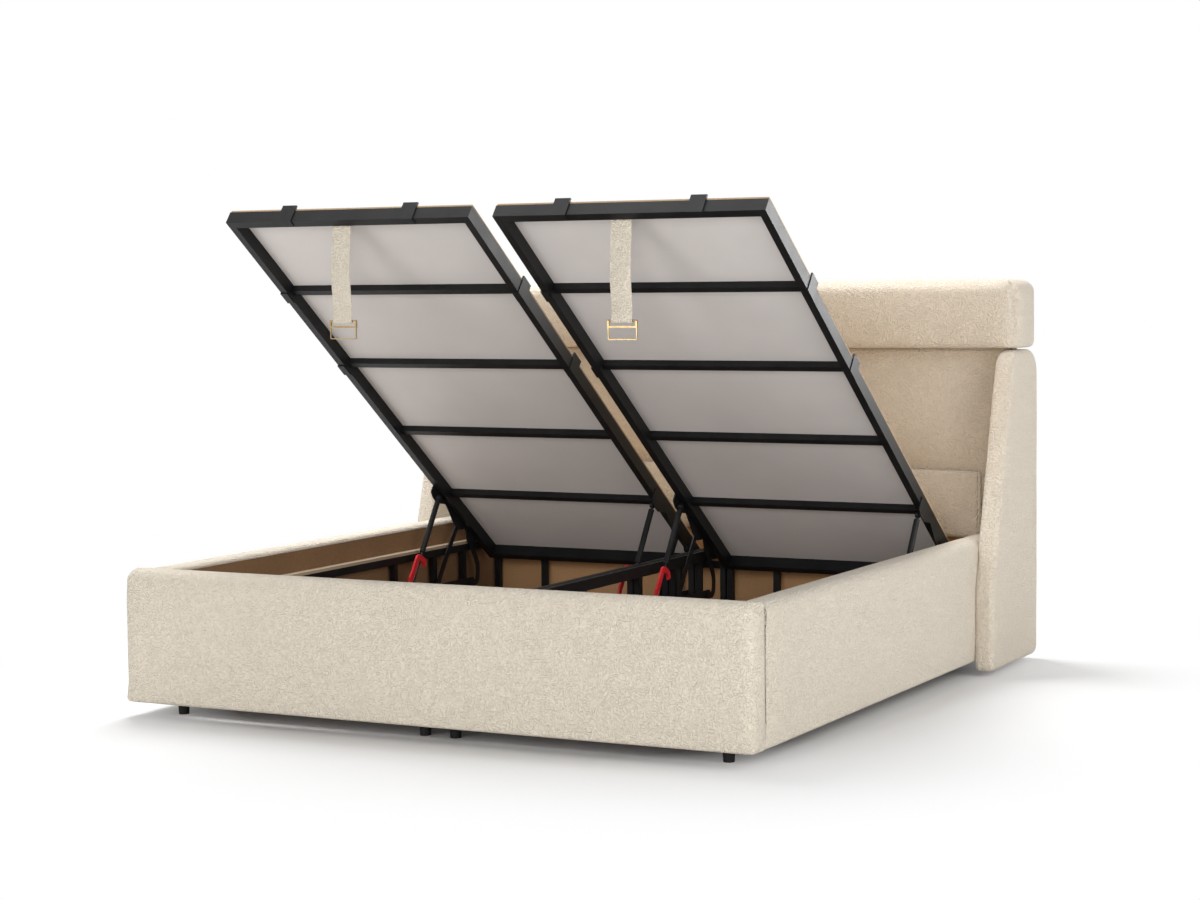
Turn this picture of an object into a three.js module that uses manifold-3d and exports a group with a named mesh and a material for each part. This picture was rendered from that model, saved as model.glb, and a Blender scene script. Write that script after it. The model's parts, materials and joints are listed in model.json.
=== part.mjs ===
// Upholstered storage bed with two lift-up platforms, a padded wing headboard and a steel base.
// Millimetres, +Z up, +X to the right seen from the foot, +Y towards the head.
import * as THREE from 'three';
import { mergeVertices } from 'three/addons/utils/BufferGeometryUtils.js';
import Module from 'manifold-3d';

const wasm = await Module();
wasm.setup();

// Overall sizes
const bedWidth = 2040;
const bedLength = 2160;
const railUnderside = 45;
const railTop = 434;
const footboardTop = 440;
const footboardThickness = 78;
const railThickness = 80;
const seatGap = 0.3;
const overrun = 5;

// Inner boards and ledges
const boardThickness = 15;
const boardBottom = 50;
const boardTop = 417;
const boardEndInset = 20;
const ledgeHeight = 10;
const ledgeWidth = 30;
const footLedgeWidth = 46;
const ledgeTop = 350;

// Steel base frames, one under each platform
const frameSideGap = 8.3;
const baseTube = 20;
const baseTubeHeight = 25;
const baseWall = 1.5;
const centreGap = 6.6;
const baseFootInset = 28;
const baseHeadInset = 16;
const headRailTop = 145;
const headTubeTop = 290;
const bottomTube = 20;
const floorPanelThickness = 8;
const postSetbacks = [1455, 1105, 723, 467, 267];
const endPostShares = [0.2, 0.78];

// Feet
const footTopRadius = 18;
const footTipRadius = 15.5;
const footOuterInset = 27;
const footInnerInset = 26.5;

// Headboard
const headPanelThickness = 40;
const backCoverThickness = 35;
const backCoverRound = 14;
const wingThickness = 65;
const wingBottom = 17;
const wingTop = 1033;
const wingFootDepth = 460;
const wingTopDepth = 250;
const wingKneeHeight = 280;
const wingRound = 14;
const wingCorner = 80;
const wingFootCorner = 22;
const wingBackCorner = 36;
const pillowDepth = 220;
const pillowBottom = 1040;
const pillowTop = 1262;
const pillowRound = 42;
const pillowSwell = 10;
const cushionDepth = 55;
const cushionCrown = 38;
const cushionBottom = 442;
const cushionRound = 20;
const lumbarSideGap = 85;
const lumbarBottom = 411;
const lumbarTop = 632;
const lumbarDepth = 28;
const lumbarCrown = 12;
const seamMargin = 2;
const crownFlatness = 8;
const crownEase = 0.5;
const roundStation = 0.586;

// Lift-up platforms
const platformHeadGap = 15;
const platformFootGap = 17;
const platformGap = 80;
const sideTube = 24;
const sideTubeHeight = 40;
const endTube = 28;
const frameWall = 1.5;
const crossTube = 22;
const crossTubeHeight = 22;
const crossPitch = 395;
const crossCount = 4;
const crossFirst = 381;
const drainRadius = 4;
const deckThickness = 7;
const deckInset = 2;
const openAngle = THREE.MathUtils.degToRad(37.3);
const openShift = 118;
const openDrop = 78;
const closedGap = 3.5;

// Deck clips
const clipWidth = 50;
const clipWall = 3;
const clipRise = 11;
const clipReturn = 22;
const clipReach = 34;
const clipEndShare = 0.25;

// Lift mechanism, beside each side tube
const plateThickness = 3.2;
const linkThickness = 3.8;
const barThickness = 3.2;
const runningGap = 0.4;
const spacerLength = 5;
const spacerRadius = 7;
const barPivotHeight = 200;
const barHeight = 36;
const barOverhang = 24;
const boltRadius = 4.5;
const boltHeadRadius = 8;
const boltHeadHeight = 4;
const boltClearance = 0.8;
const linkBoltHead = 3;
const linkWidth = 22;
const frontPivotU = 255;
const frontPivotN = -15;
const rearPivotU = 160;
const rearPivotN = -20;
const frontLinkBow = 5;
const rearElbowReach = 46;
const rearElbowHeight = 22;
const rearHeelShare = 0.74;
const rearShinLean = 6;
const rearShinHeight = 75;
const plateStartU = 118;
const plateEndU = 480;
const plateTopN = 24;
const plateDropN = -34;
const plateWaistN = -6;

// Gas struts
const strutTopU = 443;
const strutTopN = -24;
const strutSetback = 694;
const strutRadius = 9.5;
const strutBore = 6;
const strutLength = 213;
const strutNeck = 3.9;
const rodRadius = 4.5;
const rodHidden = 22;
const eyeRadius = 10;
const eyeThickness = 8;
const eyeWall = 2;
const strutCap = 16;

// Red safety hooks beside the rods
const hookThickness = 7;
const hookOffset = 15;
const hookReach = 152;
const hookWidth = 19;
const hookStandOff = 38;
const hookTipReach = 16;
const hookTipDrop = 24;
const hookElbow = 38;
const hookShoulder = 30;
const hookCorner = 4;

// Lift straps and buckles
const strapWidth = 65;
const strapThickness = 3.6;
const strapLength = 278;
const strapBulge = 5;
const strapGap = 0.8;
const strapShift = -25;
const strapTopN = 2.5;
const loopRadius = 6.9;
const loopBore = 3.3;
const buckleWidth = 95;
const buckleBar = 5.6;
const buckleHeight = 54;
const buckleSlot = 17;
const bailThickness = 3.2;

// Rounding of the base covers
const coverRound = 14;
const coverTopRound = 34;
const coverInnerRound = 20;
const coverFootRound = 20;
const railEndRound = 10;

// Facets
const roundSides = 12;
const boltSides = 8;
const cornerSteps = 4;
const bevelSteps = 3;
const halfTurn = 180;
const linkSteps = 10;
const hookSteps = 13;
const pillowSteps = [9, 2, 3];
const cushionSteps = [9, 1, 6];
const lumbarSteps = [9, 1, 4];

const colours = {
  fabric: 0xe6d8c3,
  steel: 0x17191b,
  board: 0x8a5f3a,
  ledge: 0xc49a63,
  plywood: 0xb9b2ab,
  red: 0xb3101f,
  brass: 0xb08a4a,
  chrome: 0x9a9da0,
};

const finishes = {
  fabric: { roughness: 0.95, metalness: 0 },
  steel: { roughness: 0.55, metalness: 0.4 },
  board: { roughness: 0.8, metalness: 0 },
  ledge: { roughness: 0.75, metalness: 0 },
  plywood: { roughness: 0.85, metalness: 0 },
  red: { roughness: 0.4, metalness: 0 },
  brass: { roughness: 0.3, metalness: 1 },
  chrome: { roughness: 0.2, metalness: 1 },
};

// Values worked out from the sizes above
const halfWidth = bedWidth / 2;
const railInner = halfWidth - railThickness;
const footHeight = railUnderside;
const footInner = footboardThickness;
const panelBack = bedLength - backCoverThickness;
const panelFront = panelBack - headPanelThickness;
const headInner = panelFront - boardThickness;
const pillowFront = bedLength - pillowDepth;
const cushionFront = panelFront - cushionDepth;
const lumbarFront = cushionFront - lumbarDepth;
const lumbarWidth = bedWidth - 2 * lumbarSideGap;
const frameTop = ledgeTop - ledgeHeight;
const postBottom = railUnderside + bottomTube;
const postTop = frameTop - baseTubeHeight;
const floorTop = postBottom + floorPanelThickness;
const closedHeadY = headInner - platformHeadGap;
const closedHeadZ = ledgeTop + closedGap;
const openHeadY = closedHeadY - openShift;
const openHeadZ = closedHeadZ - openDrop;
const platformLength = closedHeadY - footInner - platformFootGap;
const strutFootY = closedHeadY - strutSetback;
const postPlaces = postSetbacks.map((setback) => closedHeadY - setback);
const plateOffset = seatGap + plateThickness;
const linkNear = plateOffset + runningGap;
const linkFar = linkNear + linkThickness;
const barNear = linkFar + runningGap;
const barFar = barNear + barThickness;
const postFace = barFar + spacerLength + runningGap;
const strutOffset = -sideTube / 2;
const frameInnerX = centreGap / 2;
const frameOuterX = railInner - frameSideGap;
const platformInner = platformGap / 2;
const platformOuter = frameOuterX - baseTube - postFace;
const platformWidth = platformOuter - platformInner;
const frameFootY = footInner + baseFootInset;
const frameHeadY = headInner - baseHeadInset;
const footRow = frameFootY + baseTube / 2;
const headRow = frameHeadY - baseTube / 2;
const bottomRows = [postPlaces[0], postPlaces[2], postPlaces[4]];

// A closed mesh as a solid that can be cut and joined
function solidOf(geometry) {
  const bare = geometry.clone();
  bare.deleteAttribute('normal');
  bare.deleteAttribute('uv');
  const merged = mergeVertices(bare);
  const corners = merged.index.array;
  const kept = [];
  for (let i = 0; i < corners.length; i += 3) {
    const [a, b, c] = [corners[i], corners[i + 1], corners[i + 2]];
    if (a !== b && b !== c && c !== a) {
      kept.push(a, b, c);
    }
  }
  const triVerts = Uint32Array.from(kept);
  const vertProperties = Float32Array.from(merged.attributes.position.array);
  return new wasm.Manifold(new wasm.Mesh({ numProp: 3, vertProperties, triVerts }));
}

function geometryOf(solid) {
  const mesh = solid.getMesh();
  const geometry = new THREE.BufferGeometry();
  geometry.setAttribute('position', new THREE.BufferAttribute(mesh.vertProperties, 3));
  geometry.setIndex(new THREE.BufferAttribute(mesh.triVerts, 1));
  geometry.computeVertexNormals();
  return geometry;
}

function joined(solids) {
  return solids.reduce((whole, next) => whole.add(next));
}

// A block between two corners given in any order
function block(xa, xb, ya, yb, za, zb) {
  const size = [Math.abs(xb - xa), Math.abs(yb - ya), Math.abs(zb - za)];
  const geometry = new THREE.BoxGeometry(...size);
  geometry.translate((xa + xb) / 2, (ya + yb) / 2, (za + zb) / 2);
  return solidOf(geometry);
}

// Outline with rounded corners from a list of [a, b, radius]
function roundedOutline(corners) {
  const shape = new THREE.Shape();
  const count = corners.length;
  for (let i = 0; i < count; i += 1) {
    const [x, y, radius] = corners[i];
    const here = new THREE.Vector2(x, y);
    const before = new THREE.Vector2(...corners[(i + count - 1) % count].slice(0, 2));
    const after = new THREE.Vector2(...corners[(i + 1) % count].slice(0, 2));
    const start = here.clone().add(before.sub(here).setLength(radius));
    const end = here.clone().add(after.sub(here).setLength(radius));
    if (i === 0) {
      shape.moveTo(start.x, start.y);
    } else {
      shape.lineTo(start.x, start.y);
    }
    if (radius > 0) {
      shape.quadraticCurveTo(x, y, end.x, end.y);
    }
  }
  shape.closePath();
  return shape;
}

function extruded(shape, depth, round, steps = cornerSteps) {
  const geometry = new THREE.ExtrudeGeometry(shape, {
    depth: depth - 2 * round,
    bevelEnabled: round > 0,
    bevelThickness: round,
    bevelSize: round,
    bevelOffset: -round,
    bevelSegments: bevelSteps,
    curveSegments: steps,
  });
  geometry.translate(0, 0, round);
  return geometry;
}

// Outline in (y, z), run along X between two places
function alongX(shape, xa, xb, round = 0, steps = cornerSteps) {
  const geometry = extruded(shape, Math.abs(xb - xa), round, steps);
  const turn = new THREE.Matrix4().makeBasis(
    new THREE.Vector3(0, 1, 0), new THREE.Vector3(0, 0, 1), new THREE.Vector3(1, 0, 0),
  );
  geometry.applyMatrix4(turn);
  geometry.translate(Math.min(xa, xb), 0, 0);
  return geometry;
}

// Outline in (x, z), run along Y between two places
function alongY(shape, ya, yb, round = 0) {
  const geometry = extruded(shape, Math.abs(yb - ya), round);
  geometry.rotateX(Math.PI / 2);
  geometry.translate(0, Math.max(ya, yb), 0);
  return geometry;
}

// A round bar along X, centred on (y, z)
function roundBar(xa, xb, y, z, radius, sides = boltSides) {
  const geometry = new THREE.CylinderGeometry(radius, radius, Math.abs(xb - xa), sides);
  geometry.rotateZ(Math.PI / 2);
  geometry.translate((xa + xb) / 2, y, z);
  return solidOf(geometry);
}

// Places along one side of a cushion: close together over its rounded ends, with the
// inner places given
function stations(length, round, inner) {
  const near = [0, round * roundStation, round];
  return [...near, ...inner, ...near.map((place) => length - place).reverse()];
}

function evenly(from, to, count) {
  const places = [];
  for (let i = 1; i < count; i += 1) {
    places.push(from + (to - from) * i / count);
  }
  return places;
}

// A cushion: a block with rounded edges, whose front swells towards the foot
function cushion(size, corner, round, inner, crownAt) {
  const lists = size.map((length, axis) => stations(length, round, inner[axis]));
  const counts = lists.map((list) => list.length - 1);
  const geometry = new THREE.BoxGeometry(...counts, ...counts);
  const place = geometry.attributes.position;
  const point = new THREE.Vector3();
  const core = new THREE.Vector3();
  for (let i = 0; i < place.count; i += 1) {
    point.fromBufferAttribute(place, i);
    const steps = [point.x, point.y, point.z].map((at, axis) => Math.round(at + counts[axis] / 2));
    point.set(lists[0][steps[0]], lists[1][steps[1]], lists[2][steps[2]]);
    core.set(
      THREE.MathUtils.clamp(point.x, round, size[0] - round),
      THREE.MathUtils.clamp(point.y, round, size[1] - round),
      THREE.MathUtils.clamp(point.z, round, size[2] - round),
    );
    point.sub(core).setLength(round).add(core);
    const across = 2 * point.x / size[0] - 1;
    point.y -= (1 - point.y / size[1]) * crownAt(across, point.z);
    place.setXYZ(i, point.x, point.y, point.z);
  }
  geometry.translate(...corner);
  return solidOf(geometry);
}

// How far the swell fades towards the two ends
function endFade(across) {
  return 1 - Math.abs(across) ** crownFlatness;
}

function mesh(name, solid, slot) {
  const material = new THREE.MeshStandardMaterial({ color: colours[slot], ...finishes[slot] });
  const piece = new THREE.Mesh(geometryOf(solid), material);
  piece.name = name;
  return piece;
}

const sideNames = { '-1': 'left', 1: 'right' };

// Places on a platform: u runs from its head end, n up through the deck
function openPlace(u, n) {
  const y = openHeadY - u * Math.cos(openAngle) + n * Math.sin(openAngle);
  const z = openHeadZ + u * Math.sin(openAngle) + n * Math.cos(openAngle);
  return new THREE.Vector2(y, z);
}

function closedPlace(u, n) {
  return new THREE.Vector2(closedHeadY - u, closedHeadZ + n);
}

// The fixed pivot that holds one link length both open and closed
function basePivot(u, n, z) {
  const open = openPlace(u, n);
  const closed = closedPlace(u, n);
  const middle = open.clone().add(closed).divideScalar(2);
  const travel = closed.clone().sub(open);
  const y = middle.x - (z - middle.y) * travel.y / travel.x;
  return new THREE.Vector2(y, z);
}

const frontBase = basePivot(frontPivotU, frontPivotN, barPivotHeight);
const rearBase = basePivot(rearPivotU, rearPivotN, barPivotHeight);
const strutBase = new THREE.Vector2(strutFootY, barPivotHeight);
const strutTop = openPlace(strutTopU, strutTopN);

// Upholstered base

function footboardCover() {
  const outline = roundedOutline([
    [0, railUnderside, coverFootRound],
    [footboardThickness, railUnderside, coverFootRound],
    [footboardThickness, footboardTop, coverInnerRound],
    [0, footboardTop, coverTopRound],
  ]);
  const slab = solidOf(alongX(outline, -halfWidth, halfWidth, coverRound));
  return slab.subtract(footBoardPocket(seatGap, overrun));
}

function footBoardPocket(gap, reach) {
  const side = railInner + gap;
  return block(
    -side, side,
    footInner - boardThickness - gap, footInner + reach,
    boardBottom - gap - reach, boardTop + gap,
  );
}

function footboardBoard() {
  return block(-railInner, railInner, footInner - boardThickness, footInner, boardBottom, boardTop);
}

function railCover(side) {
  const outline = roundedOutline([
    [side * railInner, railUnderside, coverFootRound],
    [side * halfWidth, railUnderside, coverFootRound],
    [side * halfWidth, railTop, coverTopRound],
    [side * railInner, railTop, coverInnerRound],
  ]);
  const start = footInner + seatGap;
  const slab = solidOf(alongY(outline, start, panelFront - seatGap, railEndRound));
  const pocket = block(
    side * (railInner - overrun), side * (railInner + boardThickness + seatGap),
    start + boardEndInset - seatGap, headInner + seatGap,
    railUnderside - overrun, boardTop + seatGap,
  );
  return slab.subtract(pocket);
}

function railBoard(side) {
  return block(
    side * railInner, side * (railInner + boardThickness),
    footInner + seatGap + boardEndInset, headInner,
    boardBottom, boardTop,
  );
}

function sideLedge(side) {
  return block(
    side * (railInner - ledgeWidth), side * railInner, footInner, headInner, frameTop, ledgeTop,
  );
}

function footLedge(side) {
  return block(
    side * (frameInnerX + baseTube + seatGap), side * (railInner - ledgeWidth - seatGap),
    footInner, footInner + footLedgeWidth, frameTop, ledgeTop,
  );
}

function headInnerBoard() {
  return block(-railInner, railInner, headInner, panelFront, boardBottom, boardTop);
}

// Steel base frames

// All the tubes of one base frame, each thinner by the same wall on every side
function baseBars(side, wall) {
  const half = baseTube / 2;
  const pieces = [];
  const bar = (xa, xb, ya, yb, za, zb) => {
    pieces.push(block(side * (xa + wall), side * (xb - wall), ya + wall, yb - wall, za + wall, zb - wall));
  };
  for (const [x, top] of [[frameInnerX, ledgeTop], [frameOuterX - baseTube, frameTop]]) {
    bar(x, x + baseTube, frameFootY, frameHeadY, postTop, top);
    bar(x, x + baseTube, frameFootY, frameHeadY, railUnderside, postBottom);
    for (const y of [footRow, ...postPlaces, headRow]) {
      bar(x, x + baseTube, y - half, y + half, railUnderside, top);
    }
  }
  bar(frameInnerX, frameOuterX, footRow - half, footRow + half, postTop, frameTop);
  for (const top of [headRailTop, headTubeTop]) {
    bar(frameInnerX, frameOuterX, headRow - half, headRow + half, top - baseTubeHeight, top);
  }
  for (const y of [footRow, ...bottomRows, headRow]) {
    bar(frameInnerX, frameOuterX, y - half, y + half, railUnderside, postBottom);
  }
  for (const share of endPostShares) {
    const x = frameInnerX + (frameOuterX - frameInnerX) * share;
    bar(x - half, x + half, headRow - half, headRow + half, railUnderside, headTubeTop);
  }
  return joined(pieces);
}

// The feet stand under the cross tubes and are let into their walls
function frameFeet(side) {
  const height = footHeight + baseWall / 2;
  const feet = [];
  const columns = [frameInnerX + baseTube + footInnerInset, frameOuterX - baseTube / 2 - footOuterInset];
  for (const x of columns) {
    for (const y of [footRow, bottomRows[1], headRow]) {
      const foot = new THREE.CylinderGeometry(footTopRadius, footTipRadius, height, roundSides);
      foot.rotateX(Math.PI / 2);
      foot.translate(side * x, y, height / 2);
      feet.push(solidOf(foot));
    }
  }
  return joined(feet);
}

function baseFrame(side) {
  const drain = roundBar(
    side * (frameOuterX - baseWall - overrun), side * (frameOuterX + overrun),
    (frameFootY + postPlaces[0]) / 2, railUnderside + bottomTube / 2, drainRadius,
  );
  return baseBars(side, 0).subtract(baseBars(side, baseWall)).subtract(drain).add(frameFeet(side));
}

function floorPanel(side) {
  return block(
    side * (frameInnerX + baseTube + seatGap), side * (frameOuterX - baseTube - seatGap),
    frameFootY + baseTube + seatGap, frameHeadY - baseTube - seatGap, postBottom, floorTop,
  );
}

// Headboard

function headboardPanel() {
  return block(-halfWidth, halfWidth, panelFront, panelBack, railUnderside, pillowBottom - seatGap);
}

function headboardBackCover() {
  const outline = roundedOutline([
    [-halfWidth, railUnderside, coverFootRound],
    [halfWidth, railUnderside, coverFootRound],
    [halfWidth, pillowBottom - seatGap, coverFootRound],
    [-halfWidth, pillowBottom - seatGap, coverFootRound],
  ]);
  const start = panelBack + seatGap;
  return solidOf(alongY(outline, start, panelBack + backCoverThickness, backCoverRound));
}

function headboardWing(side) {
  const back = bedLength;
  const outline = roundedOutline([
    [back - wingFootDepth, wingBottom, wingFootCorner],
    [back, wingBottom, wingBackCorner],
    [back, wingTop, wingCorner],
    [back - wingTopDepth, wingTop, wingCorner],
    [back - wingFootDepth, wingKneeHeight, wingCorner],
  ]);
  const inner = side * (halfWidth + seatGap);
  return solidOf(alongX(outline, inner, side * (halfWidth + wingThickness), wingRound));
}

function headboardPillow() {
  const size = [bedWidth + 2 * wingThickness, bedLength - pillowFront, pillowTop - pillowBottom];
  const inner = size.map((length, axis) => evenly(pillowRound, length - pillowRound, pillowSteps[axis]));
  const crown = (across, up) => pillowSwell * endFade(across) * (1 - (2 * up / size[2] - 1) ** 2);
  return cushion(size, [-size[0] / 2, pillowFront, pillowBottom], pillowRound, inner, crown);
}

function headboardCushion() {
  const size = [
    bedWidth - 2 * seatGap,
    panelFront - seatGap - cushionFront,
    pillowBottom - seatGap - cushionBottom,
  ];
  const seam = lumbarTop + seamMargin - cushionBottom;
  const top = size[2] - cushionRound;
  const inner = size.map((length, axis) => evenly(cushionRound, length - cushionRound, cushionSteps[axis]));
  inner[2] = [seam, ...evenly(seam, top, cushionSteps[2])];
  const crown = (across, up) => {
    const rise = THREE.MathUtils.clamp((up - seam) / (size[2] - seam), 0, 1);
    return cushionCrown * endFade(across) * Math.sin(Math.PI * rise) ** crownEase;
  };
  return cushion(size, [-size[0] / 2, cushionFront, cushionBottom], cushionRound, inner, crown);
}

function lumbarCushion() {
  const size = [lumbarWidth, cushionFront - seatGap - lumbarFront, lumbarTop - lumbarBottom];
  const round = size[1] / 2 - seatGap;
  const inner = size.map((length, axis) => evenly(round, length - round, lumbarSteps[axis]));
  const crown = (across, up) => lumbarCrown * endFade(across) * (1 - (2 * up / size[2] - 1) ** 2);
  return cushion(size, [-size[0] / 2, lumbarFront, lumbarBottom], round, inner, crown);
}

// Lift-up platforms, laid out with the head end at y = 0 and the foot towards -y

function platformFrame(side) {
  const near = platformInner;
  const far = platformOuter;
  const bars = (wall) => {
    const pieces = [
      block(side * (near + wall), side * (near + sideTube - wall),
        -wall, wall - platformLength, wall, sideTubeHeight - wall),
      block(side * (far - sideTube + wall), side * (far - wall),
        -wall, wall - platformLength, wall, sideTubeHeight - wall),
      block(side * (near + wall), side * (far - wall),
        -wall, wall - endTube, wall, sideTubeHeight - wall),
      block(side * (near + wall), side * (far - wall),
        endTube - wall - platformLength, wall - platformLength, wall, sideTubeHeight - wall),
    ];
    for (let i = 0; i < crossCount; i += 1) {
      const start = crossFirst + i * crossPitch;
      pieces.push(block(side * (near + wall), side * (far - wall),
        -start - wall, wall - start - crossTube,
        sideTubeHeight - crossTubeHeight + wall, sideTubeHeight - wall));
    }
    return joined(pieces);
  };
  const drain = roundBar(side * (far - frameWall - overrun), side * (far + overrun),
    -endTube, sideTubeHeight / 2, drainRadius);
  return bars(0).subtract(bars(frameWall)).subtract(drain).add(deckClips(side));
}

function platformDeck(side) {
  return block(
    side * (platformInner + deckInset), side * (platformOuter - deckInset),
    -deckInset, deckInset - platformLength,
    sideTubeHeight + seatGap, sideTubeHeight + deckThickness,
  );
}

// One clip is welded to a tube's side, laps over the deck and turns in under the tube; built
// for a tube side at x = 0 with the deck on +x
function clipSolid() {
  const top = sideTubeHeight + deckThickness;
  const half = clipWidth / 2;
  const over = top + seatGap;
  return joined([
    block(-clipWall, frameWall / 2, -half, half, -clipWall, top + clipRise),
    block(-clipWall, clipReturn, -half, half, -clipWall, frameWall / 2),
    block(-clipWall, clipReach, -half, half, over, over + clipWall),
    block(-clipWall, clipWall, -half, half, over, top + clipRise),
  ]);
}

function deckClips(side) {
  const low = Math.min(side * platformInner, side * platformOuter);
  const high = Math.max(side * platformInner, side * platformOuter);
  const clips = [];
  for (const index of [crossCount - 2, crossCount - 1]) {
    const y = -(crossFirst + index * crossPitch + crossTube / 2);
    clips.push(clipSolid().translate([low, y, 0]));
    clips.push(clipSolid().rotate([0, 0, halfTurn]).translate([high, y, 0]));
  }
  for (const share of [clipEndShare, 1 - clipEndShare]) {
    const x = side * (platformInner + platformWidth * share);
    clips.push(clipSolid().rotate([0, 0, halfTurn / 2]).translate([x, -platformLength, 0]));
  }
  return joined(clips);
}

// Lift mechanism. Each copy stands beside one side tube of a platform: face is the tube's
// side face, out is the direction in X that leads from the tube to the base posts.

function mechanismPlaces() {
  const places = [];
  for (const side of [-1, 1]) {
    places.push({ side, face: side * platformInner, out: -side, name: sideNames[side] + '_inner' });
    places.push({ side, face: side * platformOuter, out: side, name: sideNames[side] + '_outer' });
  }
  return places;
}

// The wavy plate on the side tube, laid out in the platform's own frame
function upperBracket({ face, out }) {
  const wave = [
    [plateStartU, plateTopN],
    [plateEndU, plateTopN],
    [plateEndU, plateDropN + linkWidth / 2],
    [strutTopU + linkWidth / 2, plateDropN],
    [strutTopU - linkWidth, plateDropN],
    [(strutTopU + frontPivotU) / 2 + linkWidth, plateWaistN],
    [frontPivotU + linkWidth, plateDropN + seatGap],
    [frontPivotU - linkWidth / 2, plateDropN + seatGap],
    [(frontPivotU + rearPivotU) / 2, plateWaistN],
    [rearPivotU + linkWidth / 2, plateDropN],
    [rearPivotU - linkWidth / 2, plateDropN],
    [plateStartU, plateWaistN],
  ];
  const outline = roundedOutline(wave.map(([u, n]) => [-u, n, linkWidth / 4]));
  return solidOf(alongX(outline, face + out * seatGap, face + out * plateOffset, 0, 2));
}

// The fixed bar low on the posts, with the pins that the links and the strut turn on
function lowerBracket({ face, out }) {
  const low = barPivotHeight - barHeight / 2;
  const high = barPivotHeight + barHeight / 2;
  const round = barHeight / 3;
  const outline = roundedOutline([
    [strutFootY - barOverhang, low, round],
    [rearBase.x + barOverhang, low, round],
    [rearBase.x + barOverhang, high, round],
    [strutFootY - barOverhang, high, round],
  ]);
  const plate = solidOf(alongX(outline, face + out * barNear, face + out * barFar, 0, bevelSteps));
  const root = face + out * (barNear + barFar) / 2;
  const linkEnd = face + out * (linkNear - runningGap / 2);
  const strutEnd = face + out * (strutOffset - eyeThickness / 2 + eyeWall + runningGap);
  return joined([
    plate,
    roundBar(root, linkEnd, frontBase.x, frontBase.y, boltRadius),
    roundBar(root, linkEnd, rearBase.x, rearBase.y, boltRadius),
    roundBar(root, strutEnd, strutBase.x, strutBase.y, boltRadius),
    ...barSpacers({ face, out }),
  ]);
}

// Spacers that hold the bar off the posts that it passes
function barSpacers({ face, out }) {
  const end = barFar + spacerLength;
  const crossed = postPlaces.filter((place) => place > strutFootY && place < rearBase.x);
  return crossed.map((place) => roundBar(face + out * (barNear + barFar) / 2, face + out * end,
    place, barPivotHeight, spacerRadius, roundSides));
}

// A flat strip of even width along a curve
function ribbon(line, width, steps) {
  const near = [];
  const far = [];
  for (let i = 0; i <= steps; i += 1) {
    const point = line.getPoint(i / steps);
    const slope = line.getTangent(i / steps);
    const normal = new THREE.Vector2(-slope.y, slope.x);
    near.push(point.clone().addScaledVector(normal, width / 2));
    far.unshift(point.clone().addScaledVector(normal, -width / 2));
  }
  return new THREE.Shape([...near, ...far]);
}

// The front link's middle line, bowed a little to one side
function frontLinkLine(start, end) {
  const along = end.clone().sub(start);
  const across = new THREE.Vector2(-along.y, along.x).normalize();
  const middle = start.clone().add(end).divideScalar(2).addScaledVector(across, 2 * frontLinkBow);
  return new THREE.QuadraticBezierCurve(start, middle, end);
}

// The rear link's middle line, bent like a J towards the head
function rearLinkLine(start, end) {
  const beside = (across, up) => new THREE.Vector2(start.x + across, start.y + up);
  return new THREE.SplineCurve([
    start,
    beside(rearElbowReach * rearHeelShare, 0),
    beside(rearElbowReach, rearElbowHeight),
    beside(rearElbowReach - rearShinLean, rearShinHeight),
    end,
  ]);
}

// A link along its middle line, from its lower pin to the bracket above, with a bolt at the top
function link({ face, out }, start, end, line) {
  const near = face + out * linkNear;
  const far = face + out * linkFar;
  const whole = joined([
    solidOf(alongX(ribbon(line, linkWidth, linkSteps), near, far)),
    roundBar(near, far, start.x, start.y, linkWidth / 2, roundSides),
    roundBar(near, far, end.x, end.y, linkWidth / 2, roundSides),
    roundBar(near, far + out * linkBoltHead, end.x, end.y, boltHeadRadius),
  ]);
  const hole = roundBar(near - out * overrun, far + out * overrun,
    start.x, start.y, boltRadius + boltClearance);
  return whole.subtract(hole);
}

// Gas strut pieces, laid out upright with the lower pivot at the origin
const strutSpan = strutTop.distanceTo(strutBase);
const strutLean = THREE.MathUtils.radToDeg(strutTop.clone().sub(strutBase).angle() - Math.PI / 2);

function strutPlaced(solid, { face, out }) {
  return solid.rotate([strutLean, 0, 0]).translate([face + out * strutOffset, strutBase.x, strutBase.y]);
}

function lathe(points) {
  const geometry = new THREE.LatheGeometry(points.map(([r, h]) => new THREE.Vector2(r, h)), roundSides);
  geometry.rotateX(Math.PI / 2);
  return solidOf(geometry);
}

function eye(height) {
  return roundBar(-eyeThickness / 2, eyeThickness / 2, 0, height, eyeRadius, roundSides);
}

// The rod's eye turns on the pin of the lower bracket, and carries a headed stub for the hook
function strutRod(place) {
  const end = strutSpan - strutLength + rodHidden;
  const rod = lathe([[0, eyeRadius / 2], [rodRadius, eyeRadius / 2], [rodRadius, end], [0, end]]);
  const wall = -place.out * (eyeThickness / 2 - eyeWall);
  const head = hookOffset + hookThickness / 2 + runningGap;
  const tip = -place.out * (head + boltHeadHeight);
  const hole = roundBar(place.out * eyeRadius, wall, 0, 0, boltRadius + boltClearance);
  const stub = roundBar(wall, tip, 0, 0, boltRadius);
  const cap = roundBar(-place.out * head, tip, 0, 0, boltHeadRadius);
  return strutPlaced(joined([rod.add(eye(0)).subtract(hole), stub, cap]), place);
}

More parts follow.
